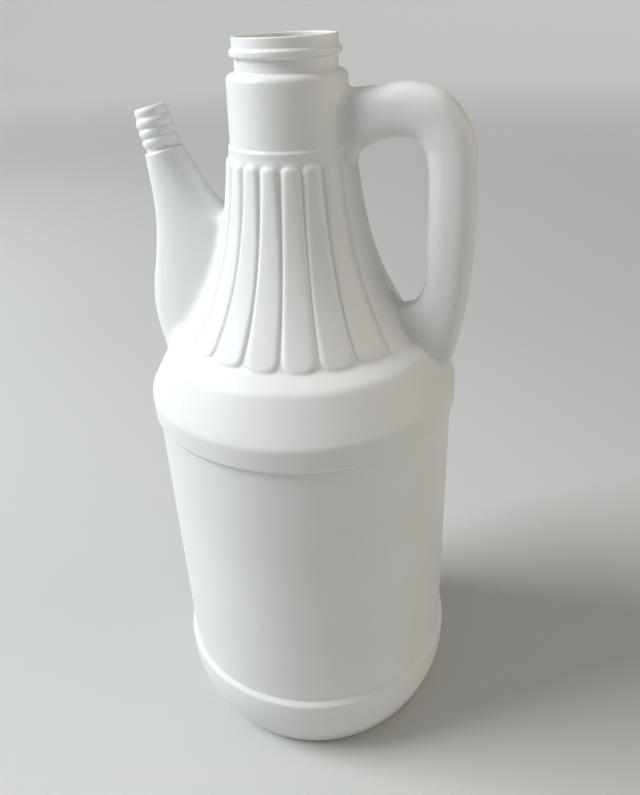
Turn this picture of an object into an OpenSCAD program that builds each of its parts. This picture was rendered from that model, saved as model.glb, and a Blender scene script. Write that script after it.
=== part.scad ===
// Handled spout bottle: a blow-moulded jug of about two litres.
// The bottle stands on Z = 0 with its axis on Z, its handle towards +X and its
// spout towards -X, so the mould's parting plane is the plane Y = 0.

/* [Body] */
// Height from the floor to the rim of the mouth
total_h = 290; // [286:1:296]
// Radius of the base band at its widest
base_r = 61.8; // [61.2:0.2:62.6]
// Height of the base band's top edge
base_band_h = 36.5; // [34:0.5:39]
// Radius of the sunk label panel
panel_r = 60.0; // [59:0.25:60.5]
// Height where the label panel ends under the shoulder band
panel_top = 156; // [154:0.5:158]
// Radius of the shoulder band
shoulder_r = 61.5; // [61:0.25:62.5]
// Wall thickness of the moulding
wall = 1.1; // [0.9:0.1:1.3]
// Depth of the hollow pushed up into the base
push_up = 2.5; // [1.5:0.5:3.5]

/* [Neck] */
// Radius of the mouth's rim
rim_r = 17.8; // [17.5:0.1:18]
// Radius of the snap bead under the rim
bead_r = 18.9; // [18.7:0.1:19.3]
// Radius of the neck between the bead and the collar
neck_r = 17.5; // [17.2:0.1:17.6]
// Radius of the mouth's bore
mouth_r = 16.3; // [15.8:0.1:16.4]
// Radius of the collar at its top edge
collar_r = 20.6; // [20.2:0.1:21]
// Height of the collar's ledge below the rim
ledge_drop = 10.8; // [10:0.2:12]

/* [Flutes] */
// Number of flutes on each side
flutes = 7; // [6:1:7]
// Angle from one flute to the next
flute_pitch = 18; // [17:0.5:18]
// How deep the groove between two flutes is
flute_relief = 1.2; // [0.8:0.1:1.4]
// Width of the groove between two flutes
flute_gap = 1.9; // [1.5:0.1:2.4]

/* [Handle] */
// Half thickness of the grip, across the mould plane
grip_half_w = 7.0; // [6:0.25:8]
// Height of the handle's top where it leaves the collar
handle_top = 273.4; // [272:0.2:274]

/* [Spout] */
// Lean of the threaded tip away from the body, in degrees
tip_lean = 13; // [12:0.5:15]
// Radius of the tip under its screw thread
tip_r = 6.5; // [6.3:0.1:6.8]
// Length of the tip above the horn
tip_len = 15.6; // [15:0.2:17]
// Radius of the spout's bore
tip_bore_r = 4.8; // [4.6:0.1:5]
// Half width of the horn where it leaves the shoulder
horn_half_w = 9.5; // [8:0.25:11]

/* [Hidden] */
plastic = "white";
$fn = 96;

// Exponent of the handle's and the horn's rounded section
squareness = 2.5;
// Sides of the handle's and the horn's section, outside
skin_sides = 28;
// Sides of the same section inside
void_sides = 20;
// Plane half angle beside the handle and the spout that has no flutes
plain_angle = 90 - flutes * flute_pitch / 2;
// Radius of the dish in the base, and of the standing ring's inner and outer edge
dish_r = 37;
stand_in_r = 41;
stand_out_r = base_r - 9.0;
// Height where the bowl of the base meets the upright band
bowl_h = 19.2;
// Height of the shoulder band's rounded top edge
shoulder_edge_z = 166.3;
// Radius and height of the turn from the shoulder into the cone
shoulder_turn_r = 51.8;
shoulder_turn_z = 182.9;
// Heights and radii of the cone's foot and top, over the flutes
cone_foot = 186.3;
cone_top = 253.4;
cone_foot_r = 45.9;
cone_top_r = 23.1;
// Height where the bottom of the grooves runs out on the shoulder
groove_foot = cone_foot + 1.1;
// Height of the flutes' upper ends
flute_top = cone_top - 2.3;
// Smooth ring above the flutes: radius at its foot, then radius and height at its top
ring_foot_r = 22.5;
ring_top_r = 21.4;
ring_top_z = cone_top + 3.0;
// Height of the collar's ledge, and of the snap bead's lower and upper edge
ledge_z = total_h - ledge_drop;
bead_low = total_h - 5.8;
bead_high = total_h - 4.0;

// Point on a cubic curve with four control points
function bezier(p, t) =
    p[0] * pow(1 - t, 3) + p[1] * 3 * t * pow(1 - t, 2) + p[2] * 3 * t * t * (1 - t) + p[3] * pow(t, 3);

// Points along a smooth curve that passes through each given point in turn
function through(p, steps) = [
    for (i = [0 : len(p) - 2], k = [0 : steps - 1])
        let (
            a = p[max(i - 1, 0)],
            b = p[i],
            c = p[i + 1],
            d = p[min(i + 2, len(p) - 1)],
            t = k / steps
        )
        (b * 2 + (c - a) * t + (a * 2 - b * 5 + c * 4 - d) * t * t + (b * 3 - a - c * 3 + d) * t * t * t) / 2,
    p[len(p) - 1]
];

// Points that replace one corner of an outline by an arc of the given radius
function rounded_corner(before, corner, after, radius, steps) =
    let (
        to_a = (before - corner) / norm(before - corner),
        to_b = (after - corner) / norm(after - corner),
        half = acos(max(-1, min(1, to_a * to_b))) / 2,
        reach = radius / tan(half),
        mid = (to_a + to_b) / norm(to_a + to_b),
        centre = corner + mid * (radius / sin(half)),
        from = corner + to_a * reach - centre,
        to = corner + to_b * reach - centre,
        sweep = 180 - 2 * half
    )
    [
        for (k = [0 : steps])
            centre + (from * sin(sweep * (1 - k / steps)) + to * sin(sweep * k / steps)) / sin(sweep)
    ];

// Outline whose corners [x, y, radius] are rounded, with about one point for each 15 degrees
function rounded(corners, closed = false) =
    let (n = len(corners))
    [
        for (i = [0 : n - 1])
            let (
                c = corners[i],
                here = [c[0], c[1]],
                prev = corners[(i + n - 1) % n],
                next = corners[(i + 1) % n],
                a = [prev[0], prev[1]],
                b = [next[0], next[1]],
                end = !closed && (i == 0 || i == n - 1),
                turn = 180 - acos(max(-1, min(1, (a - here) * (b - here) / norm(a - here) / norm(b - here)))),
                steps = max(2, ceil(turn / 15), ceil(turn * c[2] / 240))
            )
            each (end || c[2] == 0 ? [here] : rounded_corner(a, here, b, c[2], steps))
    ];

// Cone from the shoulder up to the collar, hollow-cheeked, as radius and height
cone_curve = [
    [cone_foot_r, cone_foot],
    [cone_foot_r - 11.2, cone_foot + 16.9],
    [cone_top_r + 3.4, cone_top - 36.6],
    [cone_top_r, cone_top]
];
cone_steps = 14;
cone_points = [for (k = [0 : cone_steps]) bezier(cone_curve, k / cone_steps)];

// Outer profile from the middle of the base to the cone's foot
lower_profile = rounded([
    [0, push_up, 0],
    [dish_r, push_up, 3],
    [stand_in_r, 0, 2.5],
    [stand_out_r, 0, 4],
    [base_r, bowl_h, 50],
    [base_r, base_band_h - 1.3, 2.0],
    [panel_r, base_band_h + 0.5, 0.7],
    [panel_r, panel_top, 0.6],
    [shoulder_r, panel_top + 1.6, 1.2],
    [shoulder_r, shoulder_edge_z, 5],
    [shoulder_turn_r, shoulder_turn_z, 7],
    [cone_foot_r - 1.9, groove_foot, 0]
]);

// Outer profile from the cone's top to the rim
upper_profile = rounded([
    [cone_top_r - flute_relief + 0.1, cone_top - 2.2, 0],
    [ring_foot_r, cone_top - 0.9, 0],
    [ring_top_r, ring_top_z, 0],
    [collar_r, ledge_z, 2.4],
    [neck_r, ledge_z, 0.7],
    [neck_r, bead_low - 0.6, 0.4],
    [bead_r, bead_low, 0.7],
    [bead_r, bead_high, 0.7],
    [rim_r, bead_high + 0.7, 0.4],
    [rim_r, total_h, 0.5],
    [mouth_r, total_h, 0]
]);

body_profile = concat(
    lower_profile,
    [for (p = cone_points) if (p[1] > groove_foot + 0.5 && p[1] < cone_top - 3) p - [flute_relief, 0]],
    upper_profile
);

// Path moved sideways by a distance, to the left of its direction of travel
function moved_aside(path, distance) = [
    for (i = [0 : len(path) - 1])
        let (
            along_in = path[i] - path[max(i - 1, 0)],
            along_out = path[min(i + 1, len(path) - 1)] - path[i],
            u = norm(along_in) > 0 ? along_in / norm(along_in) : along_out / norm(along_out),
            v = norm(along_out) > 0 ? along_out / norm(along_out) : u,
            side = [-(u[1] + v[1]), u[0] + v[0]] / norm(u + v)
        )
        path[i] + side * distance / max(0.5, sqrt((1 + u * v) / 2))
];

// Inner profile, one wall inside the outer one as far up as the ledge
void_path = moved_aside([for (p = body_profile) if (p[1] < ledge_z - 0.1) p], wall);
void_profile = [
    [0, void_path[0][1]],
    for (p = void_path) if (p[0] > 0 && p[1] < ledge_z - 3.2) p,
    [collar_r - wall - 0.2, ledge_z - 3.1],
    [collar_r - wall - 1.2, ledge_z - wall - 0.6],
    [mouth_r, ledge_z - wall]
];

// Solid swept between two rails in the mould plane, with a rounded section of the
// given half widths; thin takes one wall off it all round, for the hollow inside
module rail_sweep(outer, inner, half_w, sides, thin = 0, egg = 0) {
    n = len(outer);
    rings = [
        for (i = [0 : n - 1])
            let (
                middle = (outer[i] + inner[i]) / 2,
                reach = (outer[i] - inner[i]) / 2,
                u = reach * (1 - thin / norm(reach)),
                w = half_w[i] - thin
            )
            [
                for (k = [0 : sides - 1])
                    let (
                        a = 360 * k / sides,
                        c = sign(cos(a)) * pow(abs(cos(a)), 2 / squareness),
                        s = sign(sin(a)) * pow(abs(sin(a)), 2 / squareness),
                        p = middle + u * c
                    )
                    [p[0], w * s * (1 + egg * c), p[1]]
            ]
    ];
    sides_faces = [
        for (i = [0 : n - 2], k = [0 : sides - 1])
            let (
                a = i * sides + k,
                b = i * sides + (k + 1) % sides
            )
            each [[a, b, b + sides], [a, b + sides, a + sides]]
    ];
    ends = [
        [for (k = [sides - 1 : -1 : 0]) k],
        [for (k = [0 : sides - 1]) (n - 1) * sides + k]
    ];
    polyhedron(points = [for (r = rings) each r], faces = concat(sides_faces, ends), convexity = 6);
}

// Handle's rails and half widths from inside the collar round to inside the shoulder
handle_steps = 4;
handle_outer = through([
    [12, handle_top - 0.4], [21, handle_top], [32, handle_top + 0.9], [42, handle_top + 1.9],
    [53, handle_top - 0.8], [60.2, 265.8], [64.0, 258], [65.6, 247], [66.0, 233], [65.8, 218],
    [64.9, 205], [62.9, 190.5], [60.7, 180.5], [57.9, 173], [53.5, 165]
], handle_steps);
handle_inner = through([
    [12, 252], [21.5, 249.5], [26.5, 254.4], [36, 258.1],
    [44, 257.8], [47.8, 253.8], [49.1, 248], [49.4, 242], [49.5, 231], [49.4, 218],
    [49.0, 207.5], [45.4, 200.8], [38, 198], [35, 188], [34, 176]
], handle_steps);
handle_widths = through([
    [6.6], [6.8], [grip_half_w], [grip_half_w],
    [grip_half_w], [grip_half_w], [grip_half_w], [grip_half_w], [grip_half_w], [grip_half_w],
    [grip_half_w], [6.8], [6.2], [5.6], [5.2]
], handle_steps);

// Horn's rails and half widths from inside the shoulder up to the tip
tip_dir = [-sin(tip_lean), cos(tip_lean)];
tip_side = [-cos(tip_lean), -sin(tip_lean)];
tip_top = [-54.2, 268.3];
tip_foot = tip_top - tip_dir * tip_len;
horn_steps = 4;
horn_top_r = 7.4;
horn_outer = through([
    [-54, 158], [-59, 168.5], [-61.9, 179], [-63.5, 189.8], [-62.5, 200.5], [-59.8, 211.5], [-57.8, 222],
    [-57, 230], [-56.9, 238], [-57.4, 245.5], tip_foot + tip_side * (horn_top_r - 0.2) - tip_dir * 0.6
], horn_steps);
horn_inner = through([
    [-36, 158], [-33, 168], [-30, 179], [-26, 190], [-23, 201], [-21, 212], [-22, 222],
    [-28.5, 229.8], [-34.2, 238.6], [-38.9, 246.8], tip_foot - tip_side * horn_top_r - tip_dir * 1.2
], horn_steps);
horn_widths = through([
    [horn_half_w], [horn_half_w], [horn_half_w], [horn_half_w], [9.2], [8.9], [8.5], [8.2], [7.9], [7.6], [horn_top_r]
], horn_steps);

// One flute's outline across the cone, standing on its foot
module flute_outline() {
    edge = tan(flute_pitch / 2);
    foot_w = cone_foot_r * edge - flute_gap / 2;
    top_w = cone_top_r * edge - flute_gap / 2 + 0.2;
    polygon(rounded([
        [-foot_w, cone_foot + 0.3, 3.6],
        [foot_w, cone_foot + 0.3, 3.6],
        [top_w, flute_top, 2.2],
        [-top_w, flute_top, 2.2]
    ], true));
}

// Plain field of the cone behind the handle or the spout, as wide as its outline
module plain_outline() {
    foot_w = cone_foot_r * sin(plain_angle) - flute_gap / 2;
    top_w = cone_top_r * sin(plain_angle) - flute_gap / 2;
    polygon([[-foot_w, cone_foot - 3], [foot_w, cone_foot - 3], [top_w, flute_top], [-top_w, flute_top]]);
}

// Raised skin of the cone, kept only inside each flute's outline and on the two plain fields
module flutes_all() {
    depth = flute_relief + wall / 2;
    foot = cone_points[0] + [1.3, -2];
    intersection() {
        rotate_extrude()
            polygon(concat(
                [foot - [depth + 1.5, 0], foot],
                [for (k = [1 : cone_steps]) cone_points[k]],
                [for (k = [cone_steps : -1 : 1]) cone_points[k] - [depth, 0]]
            ));
        union() {
            for (side = [0, 180], k = [0 : flutes - 1])
                rotate([0, 0, side + plain_angle + flute_pitch * (k + 0.5)])
                    rotate([90, 0, 90])
                        linear_extrude(height = 70)
                            flute_outline();
            for (side = [0, 180])
                rotate([0, 0, side])
                    rotate([90, 0, 90])
                        linear_extrude(height = 70)
                            plain_outline();
        }
    }
}

// Tip of the spout, turned about its leaning axis: neck groove, core and rounded lip
module tip_solid() {
    translate([tip_foot[0], 0, tip_foot[1]])
        rotate([0, -tip_lean, 0])
            rotate_extrude()
                polygon(rounded([
                    [0, -3, 0],
                    [horn_top_r - 0.8, -3, 0],
                    [horn_top_r - 0.8, -0.2, 0.5],
                    [tip_r - 0.4, 0, 0.2],
                    [tip_r - 0.4, 1.2, 0.2],
                    [tip_r, 1.8, 0.4],
                    [tip_r, tip_len - 6, 6],
                    [tip_r - 0.4, tip_len, 2.2],
                    [0, tip_len, 0]
                ]));
}

module tip_bore() {
    translate([tip_foot[0], 0, tip_foot[1]])
        rotate([0, -tip_lean, 0])
            translate([0, 0, -6])
                cylinder(r = tip_bore_r, h = tip_len + 8);
}

module outside() {
    rotate_extrude()
        polygon(concat(body_profile, [[0, total_h]]));
    flutes_all();
    rail_sweep(handle_outer, handle_inner, [for (w = handle_widths) w[0]], skin_sides);
    rail_sweep(horn_outer, horn_inner, [for (w = horn_widths) w[0]], skin_sides, egg = -0.1);
    tip_solid();
}

module hollow() {
    rotate_extrude()
        polygon(concat(void_profile, [[0, ledge_z - wall]]));
    translate([0, 0, ledge_z - wall - 1])
        cylinder(r = mouth_r, h = ledge_drop + wall + 2);
    rail_sweep(handle_outer, handle_inner, [for (w = handle_widths) w[0]], void_sides, thin = wall);
    rail_sweep(horn_outer, horn_inner, [for (w = horn_widths) w[0]], void_sides, thin = wall, egg = -0.1);
    tip_bore();
}

// The whole moulding: one even wall of white plastic
module bottle() {
    color(plastic)
        difference() {
            outside();
            hollow();
        }
}

bottle();
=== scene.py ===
import math

import bmesh
import bpy
import numpy as np
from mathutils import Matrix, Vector


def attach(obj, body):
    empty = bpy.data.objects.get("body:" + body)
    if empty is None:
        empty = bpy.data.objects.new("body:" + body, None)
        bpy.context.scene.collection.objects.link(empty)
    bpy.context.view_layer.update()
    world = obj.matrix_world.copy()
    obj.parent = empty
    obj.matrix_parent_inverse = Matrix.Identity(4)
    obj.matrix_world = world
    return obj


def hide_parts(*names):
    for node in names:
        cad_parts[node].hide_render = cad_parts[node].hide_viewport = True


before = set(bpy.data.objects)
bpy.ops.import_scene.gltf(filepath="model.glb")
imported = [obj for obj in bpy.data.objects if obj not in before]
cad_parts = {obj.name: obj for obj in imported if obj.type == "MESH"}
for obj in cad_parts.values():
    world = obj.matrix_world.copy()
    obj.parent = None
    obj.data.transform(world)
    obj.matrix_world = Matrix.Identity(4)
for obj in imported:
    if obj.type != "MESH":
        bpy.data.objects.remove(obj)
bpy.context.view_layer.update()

# A handled spout bottle, blow-moulded in one piece of white plastic: an open neck with a bead on a
# collar, a fluted cone, a round shoulder, a sunk label panel and a base band. A hollow loop
# handle stands at +X, and a horn with a threaded tip leans away at -X. Lengths are in millimetres
# until a mesh is made, and the two halves of the mould meet in the plane Y = 0.

MM = 0.001

# Sizes of the body and the neck
total_h = 290.0
base_r = 61.8
base_band_h = 36.5
panel_r = 60.0
panel_top = 156.0
shoulder_r = 61.5
wall = 1.1
push_up = 2.5
rim_r = 17.8
bead_r = 18.9
neck_r = 17.5
mouth_r = 16.3
collar_r = 20.6
ledge_z = total_h - 10.8
bead_low = total_h - 5.8
bead_high = total_h - 4.0
dish_r = 37.0
stand_in_r = 41.0
stand_out_r = base_r - 9.0
bowl_h = 19.2
shoulder_edge_z = 166.3
shoulder_turn_r = 51.8
shoulder_turn_z = 182.9

# Sizes of the fluted cone
flutes = 7
flute_pitch = 18.0
flute_relief = 1.2
flute_gap = 1.9
plain_angle = 90 - flutes * flute_pitch / 2
cone_foot = 186.3
cone_top = 253.4
cone_foot_r = 45.9
cone_top_r = 23.1
groove_foot = cone_foot + 1.1
flute_foot = cone_foot + 0.3
flute_top = cone_top - 1.0
foot_corner = 4.6
top_corner = 2.5
flute_edge_out = 0.55
flute_edge_in = 1.5
groove_fill = 0.14
ring_r = 22.0
ring_top_z = cone_top + 2.5

# Sizes of the handle, the horn and its tip
grip_half_w = 7.0
handle_top = 273.4
squareness = 2.5
tip_lean = math.radians(13)
tip_len = 15.3
tip_core_r = 6.3
tip_bore_r = 4.8
horn_half_w = 9.5
horn_top_r = 7.4
horn_edge = 1.1
horn_egg = 0.1
thread_pitch = 3.4
thread_start = 2.9
thread_rise = 0.6
thread_climb = 0.25
thread_low = 1.0
thread_high = tip_len - 3.6
lip_r = 0.45

# Steps between the points of a tube's rails, and the sides of each round form
rail_steps = 6
handle_sides = 70
horn_sides = 88
tip_sides = 88
hollow_sides = 84
bore_sides = 48
inner_sides = 24

# Raised line where the two halves of the mould met
seam_rise = 0.14
seam_half_w = 0.45

# A brown speck in the plastic, just under the bead
speck_place = (-11.86, -12.94, 284.0)
speck_r = 0.95


# Outlines and paths

arc_degrees = 9.0
arc_step = 2.5


def rounded_outline(corners):
    """Outline through corners (x, y, radius), each turned into an arc of its radius."""
    points = []
    last = len(corners) - 1
    for i, (x, y, radius) in enumerate(corners):
        here = np.array([x, y], float)
        if radius == 0 or i in (0, last):
            points.append(here)
            continue
        to_a = np.array(corners[i - 1][:2], float) - here
        to_b = np.array(corners[i + 1][:2], float) - here
        to_a /= np.linalg.norm(to_a)
        to_b /= np.linalg.norm(to_b)
        half = math.acos(max(-1.0, min(1.0, float(to_a @ to_b)))) / 2
        middle = (to_a + to_b) / np.linalg.norm(to_a + to_b)
        centre = here + middle * radius / math.sin(half)
        start = here + to_a * radius / math.tan(half) - centre
        end = here + to_b * radius / math.tan(half) - centre
        sweep = math.pi - 2 * half
        steps = max(2, math.ceil(math.degrees(sweep) / arc_degrees), math.ceil(sweep * radius / arc_step))
        for t in np.linspace(0, 1, steps + 1):
            arm = start * math.sin(sweep * (1 - t)) + end * math.sin(sweep * t)
            points.append(centre + arm / math.sin(sweep))
    return np.array(points)


def smooth_path(points, steps):
    """Points along a smooth curve that passes through each given point in turn."""
    p = np.array(points, float)
    p = p[:, None] if p.ndim == 1 else p
    out = []
    for i in range(len(p) - 1):
        a, b, c, d = p[max(i - 1, 0)], p[i], p[i + 1], p[min(i + 2, len(p) - 1)]
        for t in np.arange(steps) / steps:
            bend = (a * 2 - b * 5 + c * 4 - d) * t ** 2 + (b * 3 - a - c * 3 + d) * t ** 3
            out.append((b * 2 + (c - a) * t + bend) / 2)
    out.append(p[-1])
    return np.array(out)


def evened(path, longest):
    """Path with its long stretches divided, so that no step is over the given length."""
    out = [path[0]]
    for a, b in zip(path[:-1], path[1:]):
        parts = max(1, math.ceil(np.linalg.norm(b - a) / longest))
        out += [a + (b - a) * k / parts for k in range(1, parts + 1)]
    return np.array(out)


def moved_aside(path, distance):
    """Path moved to the left of its direction of travel."""
    step = np.diff(path, axis=0)
    step /= np.maximum(np.linalg.norm(step, axis=1), 1e-9)[:, None]
    before, after = np.vstack([step[:1], step]), np.vstack([step, step[-1:]])
    both = before + after
    side = np.stack([-both[:, 1], both[:, 0]], 1) / np.linalg.norm(both, axis=1)[:, None]
    spread = np.maximum(0.5, np.sqrt((1 + (before * after).sum(1)) / 2))
    return path + side * (distance / spread)[:, None]


def cone_point(t):
    """Point on the cone's curve over the flutes, from its foot at t = 0 to its top at t = 1."""
    foot = np.array([cone_foot_r, cone_foot])
    top = np.array([cone_top_r, cone_top])
    low, high = foot + [-11.2, 16.9], top + [3.4, -36.6]
    u = 1 - t
    return foot * u ** 3 + low * 3 * t * u ** 2 + high * 3 * t * t * u + top * t ** 3


shoulder_corners = [
    (0, push_up, 0), (dish_r, push_up, 3), (stand_in_r, 0, 2.5), (stand_out_r, 0, 4),
    (base_r, bowl_h, 50), (base_r, base_band_h - 1.3, 2.0), (panel_r, base_band_h + 0.5, 0.7),
    (panel_r, panel_top, 0.6), (shoulder_r, panel_top + 1.6, 1.2), (shoulder_r, shoulder_edge_z, 5),
    (shoulder_turn_r, shoulder_turn_z, 7),
]
neck_corners = [
    (ring_r + 0.1, cone_top - 1.6, 0.5), (ring_r, ring_top_z, 0.7),
    (collar_r + 0.75, ring_top_z + 0.9, 0.9), (collar_r, ledge_z, 2.4), (neck_r, ledge_z, 0.7),
    (neck_r, bead_low - 0.6, 0.4), (bead_r, bead_low, 0.7), (bead_r, bead_high, 0.7),
    (rim_r, bead_high + 0.7, 0.4), (rim_r, total_h, 0.5), (0, total_h, 0),
]
cone_rows = np.array([cone_point(t) for t in np.linspace(0, 1, 60)])
cone_waist = cone_rows[(cone_rows[:, 1] > groove_foot + 0.5) & (cone_rows[:, 1] < cone_top - 3)]
groove_profile = np.vstack([
    rounded_outline(shoulder_corners + [(cone_foot_r - 1.9, groove_foot, 0)]),
    cone_waist - [flute_relief, 0],
    rounded_outline([(ring_r + 0.15, cone_top - 2.6, 0)] + neck_corners),
])
plain_profile = np.vstack([
    rounded_outline(shoulder_corners + [(cone_foot_r, cone_foot, 0)]),
    cone_waist,
    rounded_outline([(cone_top_r, flute_top, 0)] + neck_corners),
])


# Meshes

def mesh_object(name, points, faces):
    """Object at the origin, its points given in millimetres."""
    mesh = bpy.data.meshes.new(name)
    corners = [list(map(int, face)) for face in faces]
    mesh.from_pydata((np.asarray(points, float) * MM).tolist(), [], corners)
    mesh.validate()
    made = bpy.data.objects.new(name, mesh)
    bpy.context.scene.collection.objects.link(made)
    return made


def grid_faces(rings, sides):
    """Quads of a tube whose rings follow each other in the list of points."""
    i, k = np.meshgrid(np.arange(rings - 1), np.arange(sides), indexing="ij")
    a = i * sides + k
    b = i * sides + (k + 1) % sides
    return np.stack([a, b, b + sides, a + sides], -1).reshape(-1, 4).tolist()


def capped_tube(name, rings):
    """Closed tube over rings of points, with a flat fan over each end."""
    rings = np.asarray(rings, float)
    count, sides = rings.shape[:2]
    points = np.vstack([rings.reshape(-1, 3), rings[0].mean(0), rings[-1].mean(0)])
    faces = grid_faces(count, sides)
    low, high, last = count * sides, count * sides + 1, (count - 1) * sides
    faces += [[low, (k + 1) % sides, k] for k in range(sides)]
    faces += [[high, last + k, last + (k + 1) % sides] for k in range(sides)]
    made = mesh_object(name, points, faces)
    turn_outwards(made)
    return made


def turned(profile, angles):
    """Rings of points round the bottle's axis, for a profile of radius and height."""
    rows = [[r * np.cos(angles), r * np.sin(angles), np.full(len(angles), z)] for r, z in profile]
    return np.array(rows).transpose(0, 2, 1)


def even_angles(sides):
    """Angles of a full turn, all as far apart."""
    return 2 * math.pi * np.arange(sides) / sides


def turn_outwards(made):
    """Faces of a closed mesh turned to point out of it."""
    work = bmesh.new()
    work.from_mesh(made.data)
    bmesh.ops.recalc_face_normals(work, faces=work.faces)
    if work.calc_volume(signed=True) < 0:
        bmesh.ops.reverse_faces(work, faces=work.faces)
    work.to_mesh(made.data)
    work.free()


def settle(made, modifier):
    """Give an object its modifier's result as its plain mesh, and remove the modifier."""
    graph = bpy.context.evaluated_depsgraph_get()
    result = bpy.data.meshes.new_from_object(made.evaluated_get(graph))
    made.modifiers.remove(modifier)
    old = made.data
    made.data = result
    bpy.data.meshes.remove(old)


def combined(base, other, operation):
    """Base mesh joined with or cut by another closed mesh, which is then removed."""
    step = base.modifiers.new("step", "BOOLEAN")
    step.operation = operation
    step.solver = "MANIFOLD"
    step.object = other
    settle(base, step)
    bpy.data.objects.remove(other)
    return base


# The body and its flutes

def maths(tree, operation, *values):
    """Output of a math node, whose values are numbers or other nodes' outputs."""
    node = tree.nodes.new("ShaderNodeMath")
    node.operation = operation
    for slot, value in zip(node.inputs, values):
        if isinstance(value, bpy.types.NodeSocket):
            tree.links.new(value, slot)
        else:
            slot.default_value = value
    return node.outputs[0]


def half_width(radius, extra=0.0):
    """Half a flute's width where the cone has this radius."""
    return radius * math.tan(math.radians(flute_pitch / 2)) - flute_gap / 2 + extra


flute_sizes = {
    "Flutes a side": float(flutes),
    "Pitch": math.radians(flute_pitch),
    "Plain angle": math.radians(plain_angle),
    "Groove": flute_gap * MM,
    "Foot height": flute_foot * MM,
    "Top height": flute_top * MM,
    "Foot half width": half_width(cone_foot_r) * MM,
    "Top half width": half_width(cone_top_r, 0.2) * MM,
    "Foot corner": foot_corner * MM,
    "Top corner": top_corner * MM,
    "Edge outside": flute_edge_out * MM,
    "Edge inside": flute_edge_in * MM,
    "Groove floor": groove_fill,
}


def flute_tree():
    """Geometry nodes that raise the flutes and the plain fields out of the grooves' level."""
    tree = bpy.data.node_groups.new("raised_flutes", "GeometryNodeTree")
    tree.interface.new_socket("Geometry", in_out="INPUT", socket_type="NodeSocketGeometry")
    for name, value in flute_sizes.items():
        size = tree.interface.new_socket(name, in_out="INPUT", socket_type="NodeSocketFloat")
        size.default_value = value
    tree.interface.new_socket("Plastic", in_out="INPUT", socket_type="NodeSocketMaterial")
    tree.interface.new_socket("Geometry", in_out="OUTPUT", socket_type="NodeSocketGeometry")
    nodes, links = tree.nodes, tree.links
    given = nodes.new("NodeGroupInput").outputs

    def m(operation, *values):
        return maths(tree, operation, *values)

    place = nodes.new("ShaderNodeSeparateXYZ")
    links.new(nodes.new("GeometryNodeInputPosition").outputs["Position"], place.inputs[0])
    x, y, z = place.outputs
    radius = m("SQRT", m("ADD", m("MULTIPLY", x, x), m("MULTIPLY", y, y)))
    turn = m("ABSOLUTE", m("ARCTAN2", y, x))

    # Which flute the point is in, and how far it is from that flute's middle line
    cell = m("FLOOR", m("DIVIDE", m("SUBTRACT", turn, given["Plain angle"]), given["Pitch"]))
    cell = m("MAXIMUM", m("MINIMUM", cell, m("SUBTRACT", given["Flutes a side"], 1.0)), 0.0)
    middle = m("MULTIPLY_ADD", m("ADD", cell, 0.5), given["Pitch"], given["Plain angle"])
    aside = m("ABSOLUTE", m("MULTIPLY", radius, m("SINE", m("SUBTRACT", turn, middle))))

    # How deep the point lies inside the flute's outline, with round corners at both ends
    from_foot = m("SUBTRACT", z, given["Foot height"])
    from_top = m("SUBTRACT", given["Top height"], z)
    up = m("DIVIDE", from_foot, m("SUBTRACT", given["Top height"], given["Foot height"]))
    widening = m("SUBTRACT", given["Top half width"], given["Foot half width"])
    from_side = m("SUBTRACT", m("MULTIPLY_ADD", up, widening, given["Foot half width"]), aside)

    def inside_corner(from_end, corner):
        a, b = m("SUBTRACT", corner, from_side), m("SUBTRACT", corner, from_end)
        over_a, over_b = m("MAXIMUM", a, 0.0), m("MAXIMUM", b, 0.0)
        round_part = m("SQRT", m("ADD", m("MULTIPLY", over_a, over_a), m("MULTIPLY", over_b, over_b)))
        flat_part = m("MINIMUM", m("MAXIMUM", a, b), 0.0)
        return m("SUBTRACT", corner, m("ADD", round_part, flat_part))

    in_foot = inside_corner(from_foot, given["Foot corner"])
    in_flute = m("MINIMUM", in_foot, inside_corner(from_top, given["Top corner"]))

    # The plain field beside the handle and the spout ends half a groove before its first flute
    from_plane = m("MINIMUM", turn, m("SUBTRACT", math.pi, turn))
    field = m("MULTIPLY", radius, m("SINE", m("SUBTRACT", given["Plain angle"], from_plane)))
    in_field = m("MINIMUM", m("SUBTRACT", field, m("DIVIDE", given["Groove"], 2.0)), from_top)

    rise = nodes.new("ShaderNodeMapRange")
    rise.interpolation_type = "SMOOTHSTEP"
    links.new(m("MAXIMUM", in_flute, in_field), rise.inputs["Value"])
    links.new(m("MULTIPLY", given["Edge outside"], -1.0), rise.inputs["From Min"])
    links.new(given["Edge inside"], rise.inputs["From Max"])
    links.new(given["Groove floor"], rise.inputs["To Min"])
    relief = nodes.new("GeometryNodeInputNamedAttribute")
    relief.data_type = "FLOAT"
    relief.inputs["Name"].default_value = "relief"
    push = m("DIVIDE", m("MULTIPLY", rise.outputs["Result"], relief.outputs["Attribute"]), radius)

    offset = nodes.new("ShaderNodeCombineXYZ")
    links.new(m("MULTIPLY", x, push), offset.inputs["X"])
    links.new(m("MULTIPLY", y, push), offset.inputs["Y"])
    move = nodes.new("GeometryNodeSetPosition")
    links.new(given["Geometry"], move.inputs["Geometry"])
    links.new(offset.outputs["Vector"], move.inputs["Offset"])
    real = nodes.new("GeometryNodeRealizeInstances")
    links.new(move.outputs["Geometry"], real.inputs["Geometry"])
    dressed = nodes.new("GeometryNodeSetMaterial")
    links.new(real.outputs["Geometry"], dressed.inputs["Geometry"])
    links.new(given["Plastic"], dressed.inputs["Material"])
    links.new(dressed.outputs["Geometry"], nodes.new("NodeGroupOutput").inputs["Geometry"])
    return tree


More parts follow.
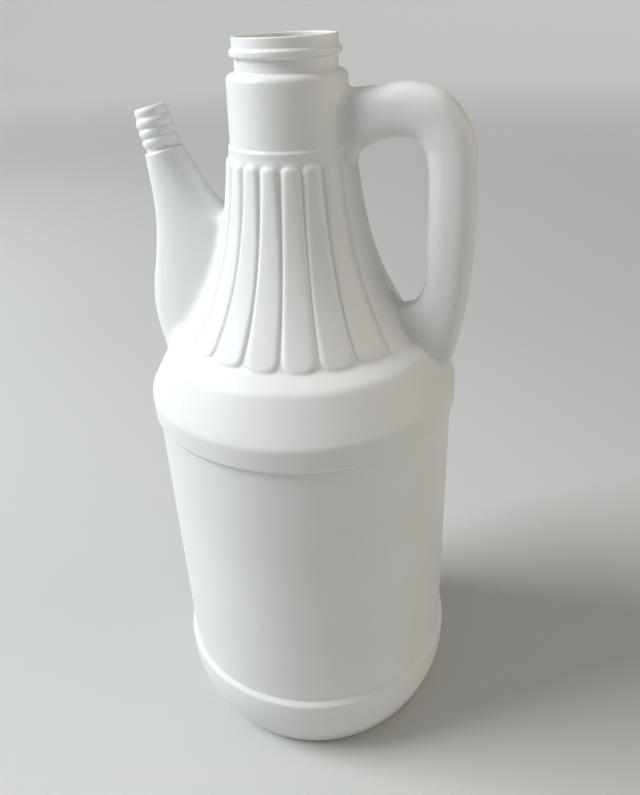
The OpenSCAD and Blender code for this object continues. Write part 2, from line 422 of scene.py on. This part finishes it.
def body_columns():
    """Angles round the body, closest together along the grooves and the mould's seam."""
    from_middle = np.array([0, 3.2, 5.4, 6.6, 7.2, 7.7, 8.15, 8.6])
    cell = np.concatenate([-from_middle[:0:-1], from_middle, [flute_pitch / 2]])
    side = np.concatenate([plain_angle + flute_pitch * (k + 0.5) + cell for k in range(flutes)])
    near_groove = np.array([0.4, 0.85, 1.3, 1.8, 2.4, 3.2, 4.4, 6.5])
    near_seam = np.array([0.22, 0.5, 1.2, 3.0, 6.0, 9.0, 12.0, 15.0, 18.0])
    half_field = np.concatenate([near_seam, plain_angle - near_groove[::-1], [plain_angle]])
    field = np.concatenate([-half_field[-2::-1], [0], half_field])
    return np.radians(np.concatenate([side, field + 180, side + 180, field]))


def body_path():
    """Groove profile with its stretches divided as finely as the shape along them needs."""
    parts = []
    for low, high, step in [(-1, 150, 6.5), (150, 184, 3.0), (184, 193, 0.9), (193, 247, 3.3),
                            (247, 258, 0.65), (258, total_h, 3.0)]:
        dense = evened(groove_profile, step)
        parts.append(dense[(dense[:, 1] > low) & (dense[:, 1] <= high)])
    path = np.vstack(parts)
    return path[path[:, 0] > 0.5]


def with_seam(points, outwards):
    """Points near the plane Y = 0 moved out into the thin raised line of the mould's seam."""
    near = np.clip(1 - np.abs(points[..., 1:2]) / seam_half_w, 0, 1)
    return points + outwards * seam_rise * near


def make_body(plastic):
    """Outside of the body, neck and collar, with the flutes and their grooves."""
    columns = body_columns()
    path = body_path()
    rings = turned(path, columns)
    outwards = np.stack([np.cos(columns), np.sin(columns), columns * 0], 1)[None]
    upright = (path[:, 1] > 1) & (path[:, 1] < ledge_z - 2)
    rings[upright] = with_seam(rings[upright], outwards)
    made = capped_tube("blown_bottle", rings)

    skin = np.interp(path[:, 1], cone_rows[:, 1], cone_rows[:, 0])
    fluted = (path[:, 1] > groove_foot - 2.5) & (path[:, 1] < cone_top)
    relief = np.where(fluted, np.maximum(0, skin - path[:, 0]), 0) * MM
    stored = made.data.attributes.new("relief", "FLOAT", "POINT")
    stored.data.foreach_set("value", np.concatenate([np.repeat(relief, len(columns)), [0, 0]]))

    step = made.modifiers.new("flutes", "NODES")
    step.node_group = flute_tree()
    for socket in step.node_group.interface.items_tree:
        if socket.name in flute_sizes:
            step[socket.identifier] = flute_sizes[socket.name]
        if socket.name == "Plastic":
            step[socket.identifier] = plastic
    settle(made, step)
    made.data.attributes.remove(made.data.attributes["relief"])
    return made


# The handle and the horn

handle_outer = smooth_path([
    (12, handle_top - 0.4), (21, handle_top), (32, handle_top + 0.9), (42, handle_top + 1.9),
    (53, handle_top - 0.8), (60.2, 265.8), (63.9, 258), (65.5, 247), (65.8, 233), (65.7, 218),
    (64.9, 205), (62.9, 190.5), (60.7, 180.5), (57.9, 173), (53.5, 165),
], rail_steps)
handle_inner = smooth_path([
    (12, 252), (21.5, 249.5), (26.5, 254.4), (36, 258.1), (44, 257.8), (47.8, 253.8), (49.1, 248),
    (49.4, 242), (49.5, 231), (49.4, 218), (49.0, 207.8), (45.6, 200.6), (39.2, 199.0),
    (34.2, 201.5), (32, 184),
], rail_steps)
handle_widths = smooth_path(
    [6.6, 6.8] + [grip_half_w] * 9 + [6.8, 6.2, 5.6, 5.2], rail_steps)[:, 0]

tip_dir = np.array([-math.sin(tip_lean), math.cos(tip_lean)])
tip_side = np.array([-math.cos(tip_lean), -math.sin(tip_lean)])
tip_top = np.array([-54.0, 268.0])
tip_foot = tip_top - tip_dir * tip_len
horn_end = tip_foot - tip_dir * horn_edge
horn_outer = smooth_path([
    (-54, 158), (-59, 168.5), (-61.9, 179), (-63.3, 189.8), (-62.4, 200.5), (-59.8, 211.5),
    (-57.8, 222), (-57, 230), (-56.9, 238), (-57.3, 245), tuple(horn_end + tip_side * horn_top_r),
], rail_steps)
horn_inner = smooth_path([
    (-36, 158), (-33, 168), (-30, 179), (-26, 190), (-23, 201), (-20.5, 213), (-20.5, 226.5),
    (-28.2, 232.2), (-34.2, 239.0), (-38.9, 246.8), tuple(horn_end - tip_side * horn_top_r),
], rail_steps)
horn_widths = smooth_path(
    [horn_half_w] * 4 + [9.2, 8.9, 8.5, 8.2, 7.9, 7.6, horn_top_r], rail_steps)[:, 0]


def tube_angles(sides):
    """Angles round a tube's section, with more of them along its two seams."""
    extra, half = np.array([0.008, 0.03]), math.pi
    parts = [even_angles(sides), extra, half - extra, half + extra, 2 * half - extra]
    return np.sort(np.concatenate(parts))


def swept_between(outer, inner, half_widths, angles, thin=0.0, egg=0.0, exponents=None):
    """Rings of a tube between two rails in the parting plane, with a rounded square section."""
    rings = []
    if exponents is None:
        exponents = np.full(len(outer), squareness)
    for o, i, w, e in zip(outer, inner, half_widths, exponents):
        c = np.sign(np.cos(angles)) * np.abs(np.cos(angles)) ** (2 / e)
        s = np.sign(np.sin(angles)) * np.abs(np.sin(angles)) ** (2 / e)
        middle, reach = (o + i) / 2, (o - i) / 2
        reach = reach * (1 - thin / np.linalg.norm(reach))
        p = middle + reach * c[:, None]
        rings.append(np.stack([p[:, 0], (w - thin) * s * (1 + egg * c), p[:, 1]], 1))
    return np.array(rings)


def outward_of(rings):
    """Unit directions out of a tube at each point of its rings."""
    along = np.gradient(rings, axis=0)
    around = np.roll(rings, -1, axis=1) - np.roll(rings, 1, axis=1)
    out = np.cross(around, along)
    out /= np.maximum(np.linalg.norm(out, axis=2), 1e-9)[..., None]
    away = rings - rings.mean(axis=1, keepdims=True)
    return out if (out * away).sum() > 0 else -out


def body_gap(points):
    """Distance from points to the body without its flutes; negative inside it."""
    flat = points.reshape(-1, 3)
    spot = np.stack([np.hypot(flat[:, 0], flat[:, 1]), flat[:, 2]], 1)
    best = np.full(len(spot), 1e9)
    inside = np.zeros(len(spot), bool)
    for p, q in zip(plain_profile, np.roll(plain_profile, -1, axis=0)):
        edge = q - p
        if edge @ edge < 1e-9:
            continue
        t = np.clip(((spot - p) @ edge) / (edge @ edge), 0, 1)
        best = np.minimum(best, np.linalg.norm(spot - p - t[:, None] * edge, axis=1))
        if p[1] != q[1]:
            crosses = (p[1] > spot[:, 1]) != (q[1] > spot[:, 1])
            inside ^= crosses & (spot[:, 0] < p[0] + (spot[:, 1] - p[1]) / edge[1] * edge[0])
    return np.where(inside, -best, best).reshape(points.shape[:-1])


halvings = 12
sunk_edge = 0.1
fading_depth = 1.5


def flared(rings, reach):
    """Tube's rings spread near the body, so that the tube meets it in a soft fillet.

    Each point moves out to where the smooth union of tube and body has its surface, and a little
    under the body's own surface at the fillet's far edge. Deep inside the body it stays put.
    """
    out = outward_of(rings)
    reach = np.asarray(reach, float)[:, None] * np.ones(rings.shape[:2])
    low, high = np.zeros(rings.shape[:2]), reach.copy()
    for _ in range(halvings):
        rise = (low + high) / 2
        gap = body_gap(rings + out * rise[..., None]) + sunk_edge * (rise / reach) ** 3
        near = np.maximum(reach - np.abs(rise - gap), 0)
        inside = np.minimum(rise, gap) - near ** 2 / (4 * reach) < 0
        low, high = np.where(inside, rise, low), np.where(inside, high, rise)
    depth = np.maximum(0, -body_gap(rings + out * reach[..., None]))
    rise = high * np.exp(-(depth / (fading_depth * reach)) ** 2)
    return rings + out * rise[..., None]


def make_handle():
    """Loop handle from the collar round to the shoulder, with a fillet at each root."""
    rings = swept_between(handle_outer, handle_inner, handle_widths, tube_angles(handle_sides))
    rings = with_seam(rings, outward_of(rings))
    ends = np.linspace(0, 1, len(rings))
    reach = np.interp(ends, [0, 0.3, 0.7, 0.9, 1], [2.6, 2.6, 4.0, 2.0, 2.0])
    return capped_tube("handle", flared(rings, reach))


def make_horn():
    """Horn from the shoulder up to the rounded edge round the foot of its tip."""
    ends = np.linspace(0, 1, len(horn_outer))
    exponents = np.interp(ends, [0.6, 1], [squareness, 2.0])
    eggs = -horn_egg * np.clip((0.95 - ends) / 0.3, 0, 1)
    angles = tube_angles(horn_sides)
    rings = swept_between(horn_outer, horn_inner, horn_widths, angles, exponents=exponents)
    rings[..., 1] *= 1 + eggs[:, None] * np.cos(angles)[None]
    reach = np.interp(ends, [0, 0.4, 1], [2.2, 3.0, 3.0])
    rings = flared(with_seam(rings, outward_of(rings)), reach)
    last = rings[-1]
    centre = last.mean(0)
    lift = np.array([tip_dir[0], 0, tip_dir[1]])
    edge = []
    for turn in np.radians([15, 30, 45, 60, 75, 90]):
        narrowing = 1 - horn_edge * (1 - math.cos(turn)) / horn_top_r
        edge.append(centre + (last - centre) * narrowing + lift * horn_edge * math.sin(turn))
    flat = edge[-1].mean(0) + (edge[-1] - edge[-1].mean(0)) * 0.6
    return capped_tube("horn", np.concatenate([rings, edge, [flat]]))


def leaning(points):
    """Points on the tip's own axis turned and moved to the spout."""
    x, y, z = points[..., 0], points[..., 1], points[..., 2]
    c, s = math.cos(tip_lean), math.sin(tip_lean)
    return np.stack([x * c - z * s + tip_foot[0], y, x * s + z * c + tip_foot[1]], -1)


def make_tip():
    """Spout tip: neck groove, core with soft thread ridges, and a rounded lip."""
    profile = evened(rounded_outline([
        (0, -4, 0), (tip_core_r - 0.6, -4, 0), (tip_core_r - 0.1, 0.9, 0.4),
        (tip_core_r, 1.4, 0.4), (tip_core_r, tip_len - 4.2, 0.5),
        (tip_core_r - 0.3, tip_len - 3.3, 0.8), (tip_core_r - 0.1, tip_len - 2, 1),
        (tip_core_r - 0.2, tip_len, 1.7), (0, tip_len, 0),
    ]), 0.34)
    profile = profile[profile[:, 0] > 0.3]
    a = even_angles(tip_sides)
    rings = turned(profile, a)
    z = rings[..., 2]
    climb = np.where(np.sin(a) < 0, a - math.pi, a) / math.pi * thread_climb
    ridge = np.abs(np.cos(math.pi * (z - thread_start - climb) / thread_pitch)) ** 0.9
    fade = 0.35 + 0.65 * np.clip(np.abs(np.sin(a)) / 0.5, 0, 1)
    threaded = np.clip((z - thread_low) / 0.6, 0, 1) * np.clip((thread_high - z) / 0.5, 0, 1)
    outwards = np.stack([np.cos(a), np.sin(a), a * 0], 1)[None]
    rings += outwards * (thread_rise * ridge * fade * threaded)[..., None]
    return capped_tube("tip", leaning(with_seam(rings, outwards)))


def make_hollow():
    """Space inside the wall: body, handle and horn, with the mouth and the spout's bore."""
    path = moved_aside(groove_profile[groove_profile[:, 1] < ledge_z - 0.1], wall)
    path = path[(path[:, 0] > 0) & (path[:, 1] < ledge_z - 3.2)]
    arc = [(mouth_r + lip_r * (1 - math.cos(t)), total_h - lip_r + lip_r * math.sin(t))
           for t in (0.4, 0.8, 1.15)]
    mouth = [(collar_r - wall - 0.2, ledge_z - 3.1), (collar_r - wall - 1.2, ledge_z - wall - 0.6),
             (mouth_r, ledge_z - wall), (mouth_r, total_h - lip_r), *arc,
             (mouth_r + lip_r, total_h + 0.3), (mouth_r + lip_r + 0.2, total_h + 1.5)]
    profile = np.vstack([path[::3], mouth])
    hollow = capped_tube("hollow", turned(profile[profile[:, 0] > 0.3], even_angles(hollow_sides)))
    bore = leaning(turned([
        (tip_bore_r, -6), (tip_bore_r, tip_len - 0.5), (tip_bore_r + 0.15, tip_len - 0.2),
        (tip_bore_r + 0.45, tip_len + 0.1), (tip_bore_r + 0.6, tip_len + 2),
    ], even_angles(bore_sides)))
    few = even_angles(inner_sides)
    grip = swept_between(handle_outer[::2], handle_inner[::2], handle_widths[::2], few, wall)
    horn = swept_between(horn_outer[::2], horn_inner[::2], horn_widths[::2], few, wall, -horn_egg)
    for name, rings in (("grip_hollow", grip), ("horn_hollow", horn), ("bore", bore)):
        hollow = combined(hollow, capped_tube(name, rings), "UNION")
    return hollow


def make_bottle(plastic):
    """The whole moulding, smooth but for its true edges."""
    whole = make_body(plastic)
    for other in (make_handle(), make_horn(), make_tip()):
        whole = combined(whole, other, "UNION")
    whole = combined(whole, make_hollow(), "DIFFERENCE")
    whole.data.materials.clear()
    whole.data.materials.append(plastic)
    for polygon in whole.data.polygons:
        polygon.use_smooth = True
    whole.data.set_sharp_from_angle(angle=math.radians(42))
    return whole


# Materials

def plain_material(name, colour, roughness):
    """Material of one colour and roughness, and its shader node."""
    material = bpy.data.materials.new(name)
    material.use_nodes = True
    shader = material.node_tree.nodes["Principled BSDF"]
    shader.inputs["Base Color"].default_value = (*colour, 1)
    shader.inputs["Roughness"].default_value = roughness
    return material, shader


def set_range(node, low, high, to_low, to_high):
    """Give a Map Range node the two ranges that it turns one into the other."""
    for name, number in zip(("From Min", "From Max", "To Min", "To Max"), (low, high, to_low, to_high)):
        node.inputs[name].default_value = number


def white_plastic():
    """Satin blow-moulded polyethylene, slightly cloudy, with one brown speck under the bead."""
    material, shader = plain_material("white_plastic", (0.82, 0.82, 0.80), 0.42)
    nodes, links = material.node_tree.nodes, material.node_tree.links
    shader.inputs["IOR"].default_value = 1.5
    shader.inputs["Subsurface Weight"].default_value = 0.2
    shader.inputs["Subsurface Radius"].default_value = (1.0, 0.92, 0.82)
    shader.inputs["Subsurface Scale"].default_value = 0.003
    where = nodes.new("ShaderNodeTexCoord")

    def noise(scale, detail):
        made = nodes.new("ShaderNodeTexNoise")
        made.inputs["Scale"].default_value = scale
        made.inputs["Detail"].default_value = detail
        links.new(where.outputs["Object"], made.inputs["Vector"])
        return made.outputs["Fac"]

    def spread(value, low, high, to_low, to_high):
        made = nodes.new("ShaderNodeMapRange")
        links.new(value, made.inputs["Value"])
        set_range(made, low, high, to_low, to_high)
        return made.outputs["Result"]

    def mixed(factor, a, b):
        made = nodes.new("ShaderNodeMix")
        made.data_type = "RGBA"
        links.new(factor, made.inputs["Factor"])
        for colour, slot in ((a, made.inputs["A"]), (b, made.inputs["B"])):
            if isinstance(colour, bpy.types.NodeSocket):
                links.new(colour, slot)
            else:
                slot.default_value = (*colour, 1)
        return made.outputs["Result"]

    def bumped(height, strength, distance, under=None):
        made = nodes.new("ShaderNodeBump")
        made.inputs["Strength"].default_value = strength
        made.inputs["Distance"].default_value = distance
        links.new(height, made.inputs["Height"])
        if under is not None:
            links.new(under, made.inputs["Normal"])
        return made.outputs["Normal"]

    swell = noise(60, 2)
    cloudy = mixed(spread(noise(22, 3), 0.3, 0.7, 0, 1), (0.80, 0.805, 0.785), (0.84, 0.845, 0.83))
    from_speck = nodes.new("ShaderNodeVectorMath")
    from_speck.operation = "DISTANCE"
    links.new(where.outputs["Object"], from_speck.inputs[0])
    from_speck.inputs[1].default_value = [c * MM for c in speck_place]
    speck = spread(from_speck.outputs["Value"], speck_r * 0.5 * MM, speck_r * MM, 0.85, 0)
    links.new(mixed(speck, cloudy, (0.20, 0.15, 0.07)), shader.inputs["Base Color"])
    links.new(spread(swell, 0, 1, 0.36, 0.48), shader.inputs["Roughness"])
    grain = bumped(noise(1500, 2), 0.12, 0.00005)
    links.new(bumped(swell, 0.25, 0.0006, grain), shader.inputs["Normal"])
    return material


bottle = make_bottle(white_plastic())
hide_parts("bottle")
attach(bottle, "root")


# Floor, light and camera

floor_glow = 0.34


def make_floor():
    """Round pale floor that rises gently to a wall all round, far from the bottle.

    Its far part is a little brighter to the camera alone, so that it stays pale away from the lamps.
    """
    rows = [(50, 0), (400, 0), (900, 0), (1600, 0), (2200, 0), (2600, 60), (2900, 260), (3050, 600),
            (3100, 1200), (3100, 2400)]
    sides = 96
    rings = turned(rows, even_angles(sides))
    points = np.vstack([rings.reshape(-1, 3), [[0, 0, 0]]])
    faces = grid_faces(len(rings), sides)
    faces += [[len(points) - 1, k, (k + 1) % sides] for k in range(sides)]
    floor = mesh_object("floor", points, faces)
    for polygon in floor.data.polygons:
        polygon.use_smooth = True
    material, shader = plain_material("pale_floor", (0.58, 0.59, 0.57), 0.85)
    nodes, links = material.node_tree.nodes, material.node_tree.links
    distance = nodes.new("ShaderNodeVectorMath")
    distance.operation = "LENGTH"
    links.new(nodes.new("ShaderNodeTexCoord").outputs["Object"], distance.inputs[0])
    glow = nodes.new("ShaderNodeMapRange")
    links.new(distance.outputs["Value"], glow.inputs["Value"])
    set_range(glow, 0.5, 2.4, 0.0, floor_glow)
    seen = nodes.new("ShaderNodeMath")
    seen.operation = "MULTIPLY"
    links.new(glow.outputs["Result"], seen.inputs[0])
    links.new(nodes.new("ShaderNodeLightPath").outputs["Is Camera Ray"], seen.inputs[1])
    links.new(seen.outputs["Value"], shader.inputs["Emission Strength"])
    shader.inputs["Emission Color"].default_value = (0.97, 0.98, 0.95, 1)
    floor.data.materials.append(material)
    return floor


def area_light(name, azimuth, elevation, distance, size, power, colour):
    """Square lamp aimed at the bottle. Azimuth 0 is in front (-Y), and 90 is at the right (+X)."""
    lamp = bpy.data.lights.new(name, "AREA")
    lamp.shape = "RECTANGLE"
    lamp.size, lamp.size_y = size
    lamp.energy = power
    lamp.color = colour
    made = bpy.data.objects.new(name, lamp)
    a, e = math.radians(azimuth), math.radians(elevation)
    away = Vector((math.sin(a) * math.cos(e), -math.cos(a) * math.cos(e), math.sin(e)))
    target = Vector((0, 0, 0.14))
    made.location = target + away * distance
    made.rotation_mode = "QUATERNION"
    made.rotation_quaternion = (-away).to_track_quat("-Z", "Y")
    bpy.context.scene.collection.objects.link(made)


make_floor()
area_light("key", -70, 40, 1.6, (0.8, 0.8), 29, (0.94, 0.975, 1.0))
area_light("fill", 92, 26, 2.0, (1.4, 1.4), 10, (1.0, 0.87, 0.72))
area_light("overhead", 0, 85, 1.9, (1.6, 1.6), 4, (1.0, 1.0, 1.0))

scene = bpy.context.scene
scene.view_settings.view_transform = "Standard"
world = bpy.data.worlds.new("studio")
scene.world = world
world.use_nodes = True
world.node_tree.nodes["Background"].inputs["Color"].default_value = (0.96, 0.97, 1.0, 1)
world.node_tree.nodes["Background"].inputs["Strength"].default_value = 0.2

camera = bpy.data.objects.new("camera", bpy.data.cameras.new("camera"))
camera.data.lens = 32.486
camera.data.sensor_width = 36
camera.location = Vector((90.288, -248.064, 301.196)) * MM
camera.rotation_euler = (1.0573628, 0.0401580, 0.3032923)
camera.data.clip_start = 0.01
scene.collection.objects.link(camera)
scene.camera = camera
